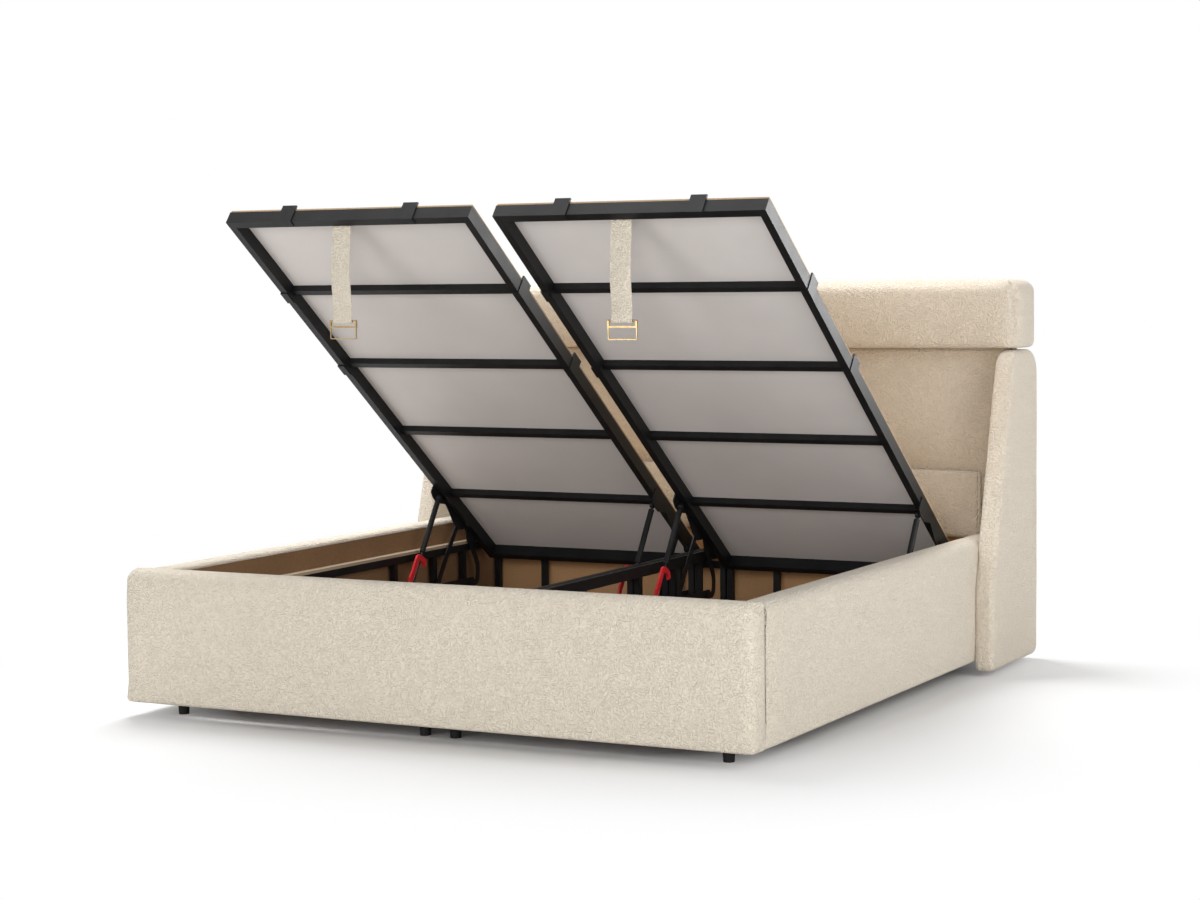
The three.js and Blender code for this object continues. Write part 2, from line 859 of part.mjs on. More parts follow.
function strutCylinder(place) {
  const mouth = strutSpan - strutLength;
  const shoulder = strutSpan - strutCap;
  const boreEnd = shoulder - strutCap;
  const body = lathe([
    [0, boreEnd], [strutBore, boreEnd], [strutBore, mouth],
    [strutRadius, mouth], [strutRadius, shoulder], [0, shoulder],
  ]);
  const neck = lathe([
    [0, shoulder - overrun], [strutNeck, shoulder - overrun], [strutNeck, strutSpan], [0, strutSpan],
  ]);
  const half = eyeThickness / 2;
  const reach = seatGap - strutOffset - runningGap;
  const bolt = roundBar(0, place.out * reach, 0, strutSpan, boltRadius);
  const cap = roundBar(-place.out * half, -place.out * (half + boltHeadHeight), 0, strutSpan, boltHeadRadius);
  return strutPlaced(joined([body, neck, eye(strutSpan), bolt, cap]), place);
}

// The cane-shaped hook turns on the stub of the rod's eye and stands beside the rod
function safetyHook(place) {
  const line = new THREE.SplineCurve([
    new THREE.Vector2(0, 0),
    new THREE.Vector2(-hookStandOff, hookElbow),
    new THREE.Vector2(-hookStandOff, (hookElbow + hookReach - hookShoulder) / 2),
    new THREE.Vector2(-hookStandOff, hookReach - hookShoulder),
    new THREE.Vector2(hookCorner - hookStandOff, hookReach - hookWidth / 2 - hookCorner),
    new THREE.Vector2(0, hookReach - hookWidth / 2),
    new THREE.Vector2(hookTipReach, hookReach - hookTipDrop),
  ]);
  const middle = -place.out * hookOffset;
  const near = middle - hookThickness / 2;
  const far = middle + hookThickness / 2;
  const hole = roundBar(near - overrun, far + overrun, 0, 0, boltRadius + boltClearance);
  const whole = joined([
    solidOf(alongX(ribbon(line, hookWidth, hookSteps), near, far)),
    roundBar(near, far, 0, 0, eyeRadius, roundSides),
  ]);
  return strutPlaced(whole.subtract(hole), place);
}

// Lift straps and buckles

function strapSolid(side) {
  const x = strapMiddle(side);
  const top = strapTopPlace();
  const outline = new THREE.Shape();
  const half = strapThickness / 2;
  const bottom = top.y - strapLength;
  outline.moveTo(top.x - half, top.y);
  outline.quadraticCurveTo(top.x - half - strapBulge, (top.y + bottom) / 2, top.x - half, bottom);
  outline.lineTo(top.x + half, bottom);
  outline.quadraticCurveTo(top.x + half - strapBulge, (top.y + bottom) / 2, top.x + half, top.y);
  const sheet = solidOf(alongX(outline, x - strapWidth / 2, x + strapWidth / 2, 0, cornerSteps * 2));
  const roll = roundBar(x - strapWidth / 2, x + strapWidth / 2, top.x, top.y, half);
  const loopZ = bottom - loopRadius + half;
  const loop = roundBar(x - strapWidth / 2, x + strapWidth / 2, top.x, loopZ, loopRadius, roundSides);
  const bore = roundBar(x - strapWidth, x + strapWidth, top.x, loopZ, loopBore, roundSides);
  return joined([sheet, roll, loop]).subtract(bore);
}

// Both straps hang a little to the left of their platforms' middles
function strapMiddle(side) {
  return side * (platformInner + platformWidth / 2) + strapShift;
}

// The strap hangs from the inner face of the platform's foot bar
function strapTopPlace() {
  const inset = endTube + strapGap + strapThickness / 2;
  return openPlace(platformLength - inset, strapTopN);
}

function buckleSolid(side) {
  const x = strapMiddle(side);
  const top = strapTopPlace();
  const barZ = top.y - strapLength - loopRadius + strapThickness / 2;
  const half = buckleWidth / 2;
  const thick = buckleBar / 2;
  const bar = (z, reach, radius) => block(x - reach, x + reach, top.x - radius, top.x + radius,
    z - radius, z + radius);
  const arm = (edge, low, high, radius) => block(edge - radius, edge + radius,
    top.x - radius, top.x + radius, low, high);
  const thin = bailThickness / 2;
  const bailLow = barZ - buckleHeight + thin;
  return joined([
    roundBar(x - half, x + half, top.x, barZ, thick, boltSides),
    bar(barZ - buckleSlot, half, thick),
    arm(x - half + thick, barZ - buckleSlot, barZ, thick),
    arm(x + half - thick, barZ - buckleSlot, barZ, thick),
    arm(x - half + thick, bailLow, barZ - buckleSlot, thin),
    arm(x + half - thick, bailLow, barZ - buckleSlot, thin),
    bar(bailLow, half - thick, thin),
  ]);
}

// Everything that stands still
function basePieces() {
  const group = new THREE.Group();
  group.add(
    mesh('footboard_cover', footboardCover(), 'fabric'),
    mesh('footboard_board', footboardBoard(), 'board'),
    mesh('head_inner_board', headInnerBoard(), 'board'),
    mesh('headboard_panel', headboardPanel(), 'board'),
    mesh('headboard_back_cover', headboardBackCover(), 'fabric'),
    mesh('headboard_cushion', headboardCushion(), 'fabric'),
    mesh('lumbar_cushion', lumbarCushion(), 'fabric'),
    mesh('headboard_pillow', headboardPillow(), 'fabric'),
  );
  for (const side of [-1, 1]) {
    const hand = sideNames[side];
    group.add(
      mesh('side_rail_cover_' + hand, railCover(side), 'fabric'),
      mesh('side_rail_board_' + hand, railBoard(side), 'board'),
      mesh('headboard_wing_' + hand, headboardWing(side), 'fabric'),
      mesh('ledge_side_' + hand, sideLedge(side), 'ledge'),
      mesh('ledge_foot_' + hand, footLedge(side), 'ledge'),
      mesh('base_frame_' + hand, baseFrame(side), 'steel'),
      mesh('floor_panel_' + hand, floorPanel(side), 'board'),
    );
  }
  return group;
}

// One platform, turned up to its open place
function platformPieces(side) {
  const group = new THREE.Group();
  const hand = sideNames[side];
  group.add(
    mesh('platform_frame_' + hand, platformFrame(side), 'steel'),
    mesh('platform_deck_' + hand, platformDeck(side), 'plywood'),
  );
  mechanismPlaces().filter((place) => place.side === side).forEach((place) => {
    group.add(mesh('upper_bracket_' + place.name, upperBracket(place), 'steel'));
  });
  group.position.set(0, openHeadY, openHeadZ);
  group.rotation.x = -openAngle;
  return group;
}

function mechanismPieces(place) {
  const group = new THREE.Group();
  const frontTop = openPlace(frontPivotU, frontPivotN);
  const rearTop = openPlace(rearPivotU, rearPivotN);
  const frontLine = frontLinkLine(frontBase, frontTop);
  const rearLine = rearLinkLine(rearBase, rearTop);
  group.add(
    mesh('lower_bracket_' + place.name, lowerBracket(place), 'steel'),
    mesh('front_link_' + place.name, link(place, frontBase, frontTop, frontLine), 'steel'),
    mesh('rear_link_' + place.name, link(place, rearBase, rearTop, rearLine), 'steel'),
    mesh('strut_rod_' + place.name, strutRod(place), 'chrome'),
    mesh('strut_cylinder_' + place.name, strutCylinder(place), 'steel'),
    mesh('safety_hook_' + place.name, safetyHook(place), 'red'),
  );
  return group;
}

function strapPieces(side) {
  const group = new THREE.Group();
  group.add(
    mesh('lift_strap_' + sideNames[side], strapSolid(side), 'fabric'),
    mesh('strap_buckle_' + sideNames[side], buckleSolid(side), 'brass'),
  );
  return group;
}

const bed = new THREE.Group();
bed.add(basePieces());
for (const side of [-1, 1]) {
  bed.add(platformPieces(side), strapPieces(side));
}
mechanismPlaces().forEach((place) => bed.add(mechanismPieces(place)));
bed.position.y = -bedLength / 2;

const part = new THREE.Group();
part.add(bed);

export default part;
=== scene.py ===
import json
import math

import bmesh
import bpy
import numpy as np
from mathutils import Matrix, Vector, noise


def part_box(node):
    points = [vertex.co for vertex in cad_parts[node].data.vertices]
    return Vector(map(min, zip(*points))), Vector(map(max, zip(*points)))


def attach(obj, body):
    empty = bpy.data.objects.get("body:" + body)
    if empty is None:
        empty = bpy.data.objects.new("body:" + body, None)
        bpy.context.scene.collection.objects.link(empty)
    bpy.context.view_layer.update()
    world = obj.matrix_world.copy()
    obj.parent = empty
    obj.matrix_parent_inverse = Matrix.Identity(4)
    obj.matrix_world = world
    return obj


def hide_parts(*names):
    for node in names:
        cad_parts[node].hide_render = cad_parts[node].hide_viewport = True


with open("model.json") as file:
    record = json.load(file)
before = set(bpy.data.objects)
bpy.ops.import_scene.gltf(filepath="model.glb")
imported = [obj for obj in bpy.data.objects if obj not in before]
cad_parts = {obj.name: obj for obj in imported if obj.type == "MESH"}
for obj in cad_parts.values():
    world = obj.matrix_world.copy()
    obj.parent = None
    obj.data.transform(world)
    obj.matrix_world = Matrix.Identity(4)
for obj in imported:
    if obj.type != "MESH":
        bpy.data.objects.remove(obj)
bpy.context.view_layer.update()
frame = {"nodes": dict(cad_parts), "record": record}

QUARTER = math.radians(90)
LEFT, RIGHT = "left", "right"

# Camera, as fitted to the photograph: its place in metres, its focal length in the photograph's pixels
CAMERA_PLACE = Vector((3.67387, -6.95801, 1.29761))
CAMERA_TURN = math.radians(27.764)
CAMERA_DOWN = math.radians(4.024)
CAMERA_ROLL = math.radians(-0.650)
CAMERA_FOCAL = 2513.64
PHOTO_WIDTH = 1200
SENSOR = 36.0

# Turn of the open platforms
OPEN_ANGLE = math.radians(37.3)

# Colours, linear
CREAM = (0.722, 0.645, 0.530)
# Painted light: the headboard's copy of the cream is warmer than the base's, standing in for the warmer
# light that falls and bounces on the headboard
CREAM_PAINTED_WARM_LIGHT = (0.730, 0.643, 0.525)
STEEL = (0.0070, 0.0070, 0.0078)
STEEL_DUST = (0.013, 0.013, 0.013)
LINING = (0.16, 0.084, 0.036)
LINING_LIGHT = (0.23, 0.127, 0.058)
# Painted light: a much lighter copy of the lining for the board inside the headboard, standing in for
# light that reaches it there
LINING_PAINTED_LIGHT = (0.46, 0.25, 0.11)
LINING_PAINTED_LIGHT_PALER = (0.58, 0.33, 0.155)
LEDGE = (0.43, 0.335, 0.235)
LEDGE_DARK = (0.31, 0.235, 0.16)
DECK_UNDER = (0.60, 0.563, 0.54)
DECK_UNDER_LIGHT = (0.64, 0.60, 0.575)
PLY = (0.44, 0.31, 0.18)
PLY_DARK = (0.34, 0.23, 0.125)
RED = (0.60, 0.012, 0.022)
RED_LIGHT = (0.70, 0.024, 0.032)
BRASS = (0.50, 0.37, 0.19)
BRASS_DARK = (0.34, 0.24, 0.11)
ROD = (0.10, 0.10, 0.105)
ROD_DARK = (0.05, 0.05, 0.055)
FLOOR = (0.77, 0.77, 0.77)
WHITE = (1, 1, 1, 1)

# Levels of a noise between which one tone gives way to the other
EVEN_TURN = (0.3, 0.7)
CRISP_TURN = (0.35, 0.65)
DUST_TURN = (0.35, 0.75)
WEAR_TURN = (0.35, 0.7)

# Boucle fabric: curls in metres, shares of the height, and shares of the cream in its tones; the
# darkest tone is painted shade in the valleys between the curls
CURL_SIZE = 0.0085
CURL_DEPTH = 0.0048
CURL_LEVEL = 0.5
CURL_RIDGE = (0.16, 0.0)
CURL_SHARE = 0.65
# Heights of the curls over which the painted shade in their valleys comes in
CURL_PAINTED_SHADE_TURN = (0.55, 0.2)
FUZZ_SIZE = 0.0036
FUZZ_SHARE = 0.35
CREAM_TONE_SIZE = 0.35
CREAM_DEEP = 0.985
CREAM_BRIGHT = 1.015
# Painted shade: the share of the cream left in the valleys between the curls
CREAM_PAINTED_SHADE = 0.93
CLOTH_ROUGH = 0.95
CLOTH_SHEEN = 0.2
CLOTH_SHEEN_ROUGH = 0.6
CLOTH_MIRROR = 0.3

# Powder-coated steel
STEEL_ROUGH = 0.45
STEEL_ROUGH_RANGE = (0.36, 0.52)
STEEL_MIRROR = 0.18
DUST_SIZE = 0.09
COAT_SIZE = 0.0012
COAT_DEPTH = 0.0002

# Boards: ledges, lining and the platforms' tops
LEDGE_ROUGH = 0.7
LEDGE_GRAIN_SIZE = 0.02
LEDGE_GRAIN_DEPTH = 0.0004
LEDGE_STRETCH = (1, 0.08, 1)
LINING_ROUGH = 0.75
LINING_TONE_SIZE = 0.3
LINING_TONE_SHARE = 0.4
CHIP_SIZE = 0.006
CHIP_DEPTH = 0.0003
CHIP_SHARE = 0.6
DECK_ROUGH = 0.8
DECK_UNDER_TURN = (0.85, 0.95)
DECK_PORE_SIZE = 0.003
DECK_PORE_DEPTH = 0.0002
FELT_SIZE = 0.25
PLY_GRAIN_SIZE = 0.03
PLY_STRETCH = (6, 1, 1)

# Polished pieces
RED_ROUGH = 0.35
ROD_ROUGH = 0.22
BRASS_ROUGH = 0.25
WEAR_SIZE = 0.03
WEAR_LEAST_ROUGH = 0.8
WEAR_MOST_ROUGH = 1.3
POLISH_SIZE = 0.0015
POLISH_DEPTH = 0.0001

# Soft forms in general, in metres, steps and shares
TURN_STEPS = 5
CELL = 0.016
BLOCK_FADE_POWER = 6
RIPPLE = 0.0012
RIPPLE_SIZE = 0.16
TINY = 1e-8

# Covers of the footboard and the side rails
COVER_STEP = 0.014
COVER_FOOT = 0.012
COVER_OUTER = 0.034
COVER_INNER = 0.014
COVER_SWELL = 0.005
COVER_SWELL_LOW = 0.10
COVER_SWELL_HIGH = 0.12
COVER_SEAM = 0.009
COVER_FRONT = 0.026
COVER_FRONT_LOW = 0.06
COVER_FRONT_HIGH = 0.09
COVER_FADE = 0.09
COVER_TUCK = 0.018
COVER_TURN = 0.030
COVER_RIPPLE_SHARE = 0.3
CAP_SHARES = (0.25, 0.5, 0.75)
SHELF = 0.4173
SHELF_DEPTH = 0.0154
SHELF_STEP = 0.0003

# Headboard: back cover, wings, pillow and cushions
BACK_EDGE = 0.020
BACK_TOP_EDGE = 0.016
WING_EDGE = 0.020
WING_KNEE = 0.28
WING_TOP_DEPTH = 0.25
WING_CORNER = 0.080
WING_FOOT_CORNER = 0.022
WING_BACK_CORNER = 0.036
WING_SWELL = 0.005
WING_RINGS = 14
WING_CROWN_POWER = 0.6
CORNER_STEPS = 10
OUTLINE_STEP = 0.03
CUSHION_SWELL = 0.002
END_POWER = 8
PILLOW_FRONT = 0.860
PILLOW_LOW_EDGE = 0.018
PILLOW_TOP_EDGE = 0.046
PILLOW_CORNER = 0.060
PILLOW_CROWN = 0.010
LUMBAR_FRONT = 0.922
LUMBAR_EDGE = 0.0135
LUMBAR_CORNER = 0.0140
LUMBAR_CROWN = 0.012
LUMBAR_SEAM = 0.96
LUMBAR_REACH = 0.20
MAIN_FRONT = 0.950
MAIN_LOW_EDGE = 0.022
MAIN_TOP_EDGE = 0.010
MAIN_CORNER = 0.022
MAIN_CROWN = 0.038
MAIN_CROWN_START = 0.33
MAIN_LOW_SEAM = 0.36
MAIN_HIGH_SEAM = 0.98
GATHER_DEPTH = 0.0035
GATHER_TURNS = 75.0
GATHER_WANDER = 2.2
GATHER_SLOW = 17.0
GATHER_REACH = 0.10

# Lift straps
STRAP_THICKNESS = 0.0050
STRAP_TOP = 0.0034
STRAP_TOP_BAND = 0.004
STRAP_FULL = 0.2
STRAP_EDGE = 0.0016
STRAP_EDGE_STEPS = 3
STRAP_BOW = 0.010
STRAP_STEPS = 32
STRAP_LOOP = 0.0051
STRAP_LOOP_OUTER = 0.0069
LOOP_STEPS = 16
LOOP_DEGREES = 255

# Studio: floor and its white surround in metres, and the light that the world gives
FLOOR_SIZE = 40
FLOOR_ROUGH = 0.9
FLOOR_TONE_SIZE = 2.0
FLOOR_BRIGHT = 1.01
GLOW_WIDTH = 2.3
GLOW_LENGTH = 2.5
GLOW_TURN = (0.48, 0.90)
WORLD_LIGHT = 0.27

# Lamps: name, place, aim, size, power, and whether it lights matt surfaces or shows in gloss alone
BED_MIDDLE = (0, 0, 0.5)
LAMPS = (
    ("front", (-2.5, -11.0, 2.0), BED_MIDDLE, 4.0, 300, True),
    ("front_right", (4.0, -11.0, 2.2), BED_MIDDLE, 4.0, 365, True),
    ("right", (5.6, -1.8, 2.4), BED_MIDDLE, 5.0, 205, True),
    ("top", (-1.5, 1.3, 4.5), BED_MIDDLE, 3.0, 370, True),
    ("strip", (2.35, 2.6, 1.5), (0.9, -0.4, 1.3), 1.0, 60, False),
)

# A Mix node's colour sockets, which share their names with its other sockets
MIX_FIRST, MIX_SECOND, MIX_RESULT = 6, 7, 2


def shade(colour, share):
    return tuple(share * part for part in colour)


class Look:
    """One procedural material, with short calls for the nodes that it needs."""

    def __init__(self, name, roughness, metallic=0.0):
        self.material = bpy.data.materials.new(name)
        self.material.use_nodes = True
        self.tree = self.material.node_tree
        self.shader = self.tree.nodes["Principled BSDF"]
        self.set("Roughness", roughness)
        self.set("Metallic", metallic)
        self.texture = self.tree.nodes.new("ShaderNodeTexCoord")
        self.place = self.texture.outputs["Object"]

    def set(self, socket, value):
        self.shader.inputs[socket].default_value = value

    def link(self, source, target):
        self.tree.links.new(source, target)

    def stretched(self, scale):
        node = self.tree.nodes.new("ShaderNodeMapping")
        node.inputs["Scale"].default_value = scale
        self.link(self.place, node.inputs["Vector"])
        return node.outputs["Vector"]

    def noise(self, size, detail=2.0, rough=0.5, vector=None):
        node = self.tree.nodes.new("ShaderNodeTexNoise")
        node.inputs["Scale"].default_value = 1 / size
        node.inputs["Detail"].default_value = detail
        node.inputs["Roughness"].default_value = rough
        self.link(vector or self.place, node.inputs["Vector"])
        return node.outputs["Fac"]

    def math(self, operation, a, b):
        node = self.tree.nodes.new("ShaderNodeMath")
        node.operation = operation
        for socket, value in zip(node.inputs, (a, b)):
            if isinstance(value, (int, float)):
                socket.default_value = value
            else:
                self.link(value, socket)
        return node.outputs[0]

    def blend(self, a, a_share, b, b_share):
        return self.math("ADD", self.math("MULTIPLY", a, a_share), self.math("MULTIPLY", b, b_share))

    def mix(self, factor, a, b):
        node = self.tree.nodes.new("ShaderNodeMix")
        node.data_type = "RGBA"
        self.link(factor, node.inputs["Factor"])
        for socket, value in zip((node.inputs[MIX_FIRST], node.inputs[MIX_SECOND]), (a, b)):
            if isinstance(value, tuple):
                socket.default_value = (*value, 1)
            else:
                self.link(value, socket)
        return node.outputs[MIX_RESULT]

    def ramp(self, source, start, end):
        node = self.tree.nodes.new("ShaderNodeMapRange")
        node.inputs["From Min"].default_value = start
        node.inputs["From Max"].default_value = end
        self.link(source, node.inputs["Value"])
        return node.outputs["Result"]

    def colour(self, source):
        self.link(source, self.shader.inputs["Base Color"])

    def roughness(self, source, low, high):
        node = self.tree.nodes.new("ShaderNodeMapRange")
        node.inputs["To Min"].default_value = low
        node.inputs["To Max"].default_value = high
        self.link(source, node.inputs["Value"])
        self.link(node.outputs["Result"], self.shader.inputs["Roughness"])

    def bump(self, height, distance, strength=1.0):
        node = self.tree.nodes.new("ShaderNodeBump")
        node.inputs["Distance"].default_value = distance
        node.inputs["Strength"].default_value = strength
        self.link(height, node.inputs["Height"])
        self.link(node.outputs["Normal"], self.shader.inputs["Normal"])


def boucle_look(name, cream):
    """Looped wool: small soft knots with painted shade in the valleys between them, in a fabric of
    nearly one tone.
    """
    look = Look(name, CLOTH_ROUGH)
    look.set("Sheen Weight", CLOTH_SHEEN)
    look.set("Sheen Roughness", CLOTH_SHEEN_ROUGH)
    look.set("Specular IOR Level", CLOTH_MIRROR)
    curls = look.noise(CURL_SIZE, detail=1)
    loops = look.math("ABSOLUTE", look.math("SUBTRACT", curls, CURL_LEVEL), 0)
    ridge = look.ramp(loops, *CURL_RIDGE)
    fuzz = look.noise(FUZZ_SIZE, rough=0.6)
    height = look.blend(ridge, CURL_SHARE, fuzz, FUZZ_SHARE)
    tone = look.ramp(look.noise(CREAM_TONE_SIZE), *EVEN_TURN)
    mild = look.mix(tone, shade(cream, CREAM_DEEP), shade(cream, CREAM_BRIGHT))
    # Painted shade: the colour darkens where the curls' height falls into the valleys between them
    look.colour(look.mix(look.ramp(height, *CURL_PAINTED_SHADE_TURN), mild, shade(cream, CREAM_PAINTED_SHADE)))
    look.bump(height, CURL_DEPTH)
    return look.material


def steel_look():
    look = Look("black_powder_coat", STEEL_ROUGH)
    look.set("Specular IOR Level", STEEL_MIRROR)
    dust = look.noise(DUST_SIZE, detail=3)
    look.colour(look.mix(look.ramp(dust, *DUST_TURN), STEEL, STEEL_DUST))
    look.roughness(dust, *STEEL_ROUGH_RANGE)
    look.bump(look.noise(COAT_SIZE), COAT_DEPTH, strength=0.4)
    return look.material


def ledge_look():
    look = Look("pale_ledge_wood", LEDGE_ROUGH)
    grain = look.noise(LEDGE_GRAIN_SIZE, detail=5, rough=0.6, vector=look.stretched(LEDGE_STRETCH))
    look.colour(look.mix(look.ramp(grain, *EVEN_TURN), LEDGE, LEDGE_DARK))
    look.bump(grain, LEDGE_GRAIN_DEPTH, strength=0.4)
    return look.material


def lining_look(name, dark, light):
    look = Look(name, LINING_ROUGH)
    chips = look.noise(CHIP_SIZE, detail=4, rough=0.7)
    mixed = look.blend(chips, CHIP_SHARE, look.noise(LINING_TONE_SIZE), LINING_TONE_SHARE)
    look.colour(look.mix(look.ramp(mixed, *CRISP_TURN), dark, light))
    look.bump(chips, CHIP_DEPTH, strength=0.4)
    return look.material


def deck_look():
    """Pale cloth-backed underside, plywood edge and top, told apart by the board's own faces."""
    look = Look("platform_board", DECK_ROUGH)
    facing = look.tree.nodes.new("ShaderNodeVectorMath")
    facing.operation = "DOT_PRODUCT"
    facing.inputs[1].default_value = (0, -math.sin(OPEN_ANGLE), -math.cos(OPEN_ANGLE))
    look.link(look.texture.outputs["Normal"], facing.inputs[0])
    under = look.ramp(facing.outputs["Value"], *DECK_UNDER_TURN)
    felt = look.noise(FELT_SIZE)
    pale = look.mix(look.ramp(felt, *EVEN_TURN), DECK_UNDER, DECK_UNDER_LIGHT)
    grain = look.noise(PLY_GRAIN_SIZE, detail=5, rough=0.6, vector=look.stretched(PLY_STRETCH))
    ply = look.mix(look.ramp(grain, *CRISP_TURN), PLY, PLY_DARK)
    look.colour(look.mix(under, ply, pale))
    look.bump(look.noise(DECK_PORE_SIZE, detail=3), DECK_PORE_DEPTH, strength=0.3)
    return look.material


def polished_look(name, light, dark, roughness, metallic):
    look = Look(name, roughness, metallic)
    wear = look.noise(WEAR_SIZE, detail=4, rough=0.6)
    look.colour(look.mix(look.ramp(wear, *WEAR_TURN), light, dark))
    look.roughness(wear, roughness * WEAR_LEAST_ROUGH, roughness * WEAR_MOST_ROUGH)
    look.bump(look.noise(POLISH_SIZE), POLISH_DEPTH, strength=0.2)
    return look.material


LOOKS = {
    "cream_fabric": boucle_look("cream_boucle", CREAM),
    "black_steel": steel_look(),
    "brown_board": lining_look("brown_lining_board", LINING, LINING_LIGHT),
    "light_wood": ledge_look(),
    "plywood": deck_look(),
    "red_plastic": polished_look("red_hook_plastic", RED, RED_LIGHT, RED_ROUGH, 0.0),
    "rod_steel": polished_look("bright_rod_steel", ROD, ROD_DARK, ROD_ROUGH, 1.0),
    "buckle_brass": polished_look("buckle_brass", BRASS, BRASS_DARK, BRASS_ROUGH, 1.0),
}

# The headboard's boucle: the same fabric as the base, warmed as painted light
PAINTED_WARM_LIGHT_BOUCLE = boucle_look("cream_boucle_headboard_painted_warm_light", CREAM_PAINTED_WARM_LIGHT)
# The board inside the headboard: the same lining, lightened as painted light
HEAD_LINING_PAINTED_LIGHT = lining_look("brown_head_board_painted_light", LINING_PAINTED_LIGHT, LINING_PAINTED_LIGHT_PALER)

SLOTS = {entry["node"]: entry["material_slot"] for entry in frame["record"]["subparts"]}
BODIES = frame["record"]["behaviour"]["bodies"]


def body_of(node):
    return next(name for name, nodes in BODIES.items() if node in nodes)


def soft_piece(node, points, faces, look=LOOKS["cream_fabric"]):
    """A fabric mesh in the place of a CAD node, riding on its body."""
    name = node + "_soft"
    mesh = bpy.data.meshes.new(name)
    mesh.from_pydata([tuple(p) for p in points], [], [tuple(f) for f in faces])
    mesh.update()
    piece = bpy.data.objects.new(name, mesh)
    bpy.context.scene.collection.objects.link(piece)
    piece.data.materials.append(look)
    shape = bmesh.new()
    shape.from_mesh(mesh)
    bmesh.ops.recalc_face_normals(shape, faces=shape.faces)
    shape.to_mesh(mesh)
    shape.free()
    mesh.polygons.foreach_set("use_smooth", [True] * len(mesh.polygons))
    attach(piece, body_of(node))
    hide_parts(node)
    return piece


def ring_faces(rings, count, start=0):
    """Quads between rings of count points each that follow one another."""
    faces = []
    for ring in range(rings - 1):
        a = start + ring * count
        b = a + count
        for i in range(count):
            j = (i + 1) % count
            faces.append((a + i, a + j, b + j, b + i))
    return faces


def tube_faces(rings, count):
    """Faces of rings that follow one another, closed at both ends."""
    final = (rings - 1) * count
    return [*ring_faces(rings, count), tuple(range(count)), tuple(final + i for i in range(count))]


def across_of(ahead):
    """Unit directions at right angles to a line's own directions, to its left."""
    beside = np.stack([-ahead[:, 1], ahead[:, 0]], axis=1)
    return beside / np.linalg.norm(beside, axis=1)[:, None]


def ring_ahead(ring):
    """Directions along a closed ring at each of its points."""
    return np.roll(ring, -1, axis=0) - np.roll(ring, 1, axis=0)


def ripple(points):
    """Small even unevenness of padding, the same on every run."""
    return np.array([RIPPLE * noise.noise(Vector(p) / RIPPLE_SIZE) for p in points])


def stations(length, edge):
    """Places along one side of a block, close together over its rounded ends."""
    angles = [QUARTER / 2 * (1 - k / TURN_STEPS) for k in range(TURN_STEPS + 1)]
    near = [edge * (1 - math.tan(angle)) for angle in angles]
    count = max(1, round((length - 2 * edge) / CELL))
    inner = [edge + (length - 2 * edge) * k / count for k in range(1, count)]
    return np.array([*near, *inner, *(length - place for place in reversed(near))])


def lattice(counts):
    """Corners and quads of a block's surface, in whole steps along its three sides."""
    index, corners, quads = {}, [], []
    for axis in range(3):
        u, v = (axis + 1) % 3, (axis + 2) % 3
        for end in (0, counts[axis]):
            for i in range(counts[u]):
                for j in range(counts[v]):
                    ring = []
                    for a, b in ((0, 0), (1, 0), (1, 1), (0, 1)):
                        step = [0, 0, 0]
                        step[axis], step[u], step[v] = end, i + a, j + b
                        key = tuple(step)
                        if key not in index:
                            index[key] = len(corners)
                            corners.append(key)
                        ring.append(index[key])
                    quads.append(ring)
    return np.array(corners), quads


def soft_block(low, high, low_edge, top_edge, swell):
    """Points and faces of a padded block with soft edges."""
    low, high = np.array(low), np.array(high)
    size = high - low
    edge = max(low_edge, top_edge)
    lists = [stations(side, edge) for side in size]
    corners, quads = lattice([len(places) - 1 for places in lists])
    points = np.stack([lists[axis][corners[:, axis]] for axis in range(3)], axis=1)
    rise = np.clip(points[:, 2] / size[2], 0, 1)[:, None]
    radius = low_edge + (top_edge - low_edge) * rise
    core = np.clip(points, radius, size - radius)
    out = points - core
    out /= np.linalg.norm(out, axis=1)[:, None]
    share = np.abs(2 * points / size - 1)
    fade = np.prod(1 - share ** BLOCK_FADE_POWER * (1 - np.abs(out)), axis=1)
    points = core + out * radius + low
    points += out * (swell * fade + ripple(points))[:, None]
    return points, quads


def cover_ring(depth, low, high):
    """Section of a base cover as (depth, height), with its outer face at depth 0."""
    quarter = [QUARTER * k / TURN_STEPS for k in range(TURN_STEPS + 1)]

    def arc(d, z, radius, start):
        angles = [start + turn for turn in quarter]
        return [(d + radius * math.cos(angle), z + radius * math.sin(angle)) for angle in angles]

    def run(start, end):
        count = max(1, round(math.dist(start, end) / COVER_STEP))
        return [
            (start[0] + (end[0] - start[0]) * k / count, start[1] + (end[1] - start[1]) * k / count)
            for k in range(1, count)
        ]

    foot, outer, inner = COVER_FOOT, COVER_OUTER, COVER_INNER
    outer_foot = arc(foot, low + foot, foot, math.pi)
    inner_foot = arc(depth - foot, low + foot, foot, 3 * QUARTER)
    inner_top = arc(depth - inner, high - inner, inner, 0)
    outer_top = arc(outer, high - outer, outer, QUARTER)
    shelf = [(depth, SHELF - SHELF_STEP), (depth, SHELF + SHELF_STEP)]
    inner_top = [place for place in inner_top if place[1] > SHELF + 2 * SHELF_STEP]
    return np.array([
        *outer_foot, *run(outer_foot[-1], inner_foot[0]),
        *inner_foot, *run(inner_foot[-1], shelf[0]),
        *shelf, *inner_top, *run(inner_top[-1], outer_top[0]),
        *outer_top, *run(outer_top[-1], outer_foot[0]),
    ])


